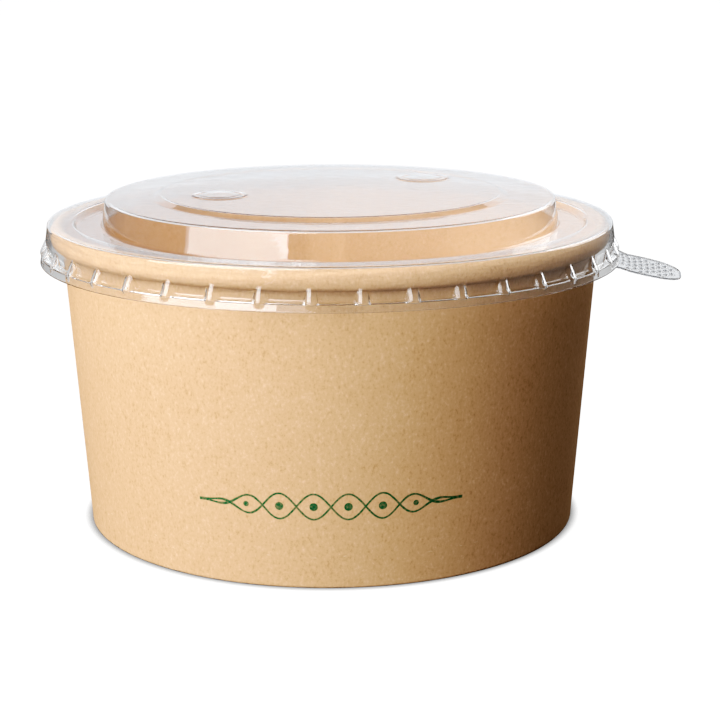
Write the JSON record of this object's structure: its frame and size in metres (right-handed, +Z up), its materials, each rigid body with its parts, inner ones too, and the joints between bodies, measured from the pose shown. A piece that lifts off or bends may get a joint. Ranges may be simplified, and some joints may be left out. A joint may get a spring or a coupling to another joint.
{
  "type": "paper salad bowl with lid",
  "caption": "Round kraft paperboard salad bowl with a rolled rim, closed by a clear domed press-on lid with a pull tab.",
  "frame": {"origin": "middle of the bounding box on the standing plane, 8.1 mm from the bowl's own axis towards the pull tab", "axes": "+Z up along the bowl's axis, +X towards the pull tab, -Y towards the side the picture shows"},
  "size_m": [0.1728, 0.1566, 0.0895],
  "materials": {
    "kraft_board": "matte kraft paperboard, thinly coated inside",
    "clear_film": "clear glossy thermoformed film"
  },
  "bodies": {
    "root": {"bowl_wall": "kraft_board", "bowl_base": "kraft_board", "lid": "clear_film"}
  },
  "joints": []
}
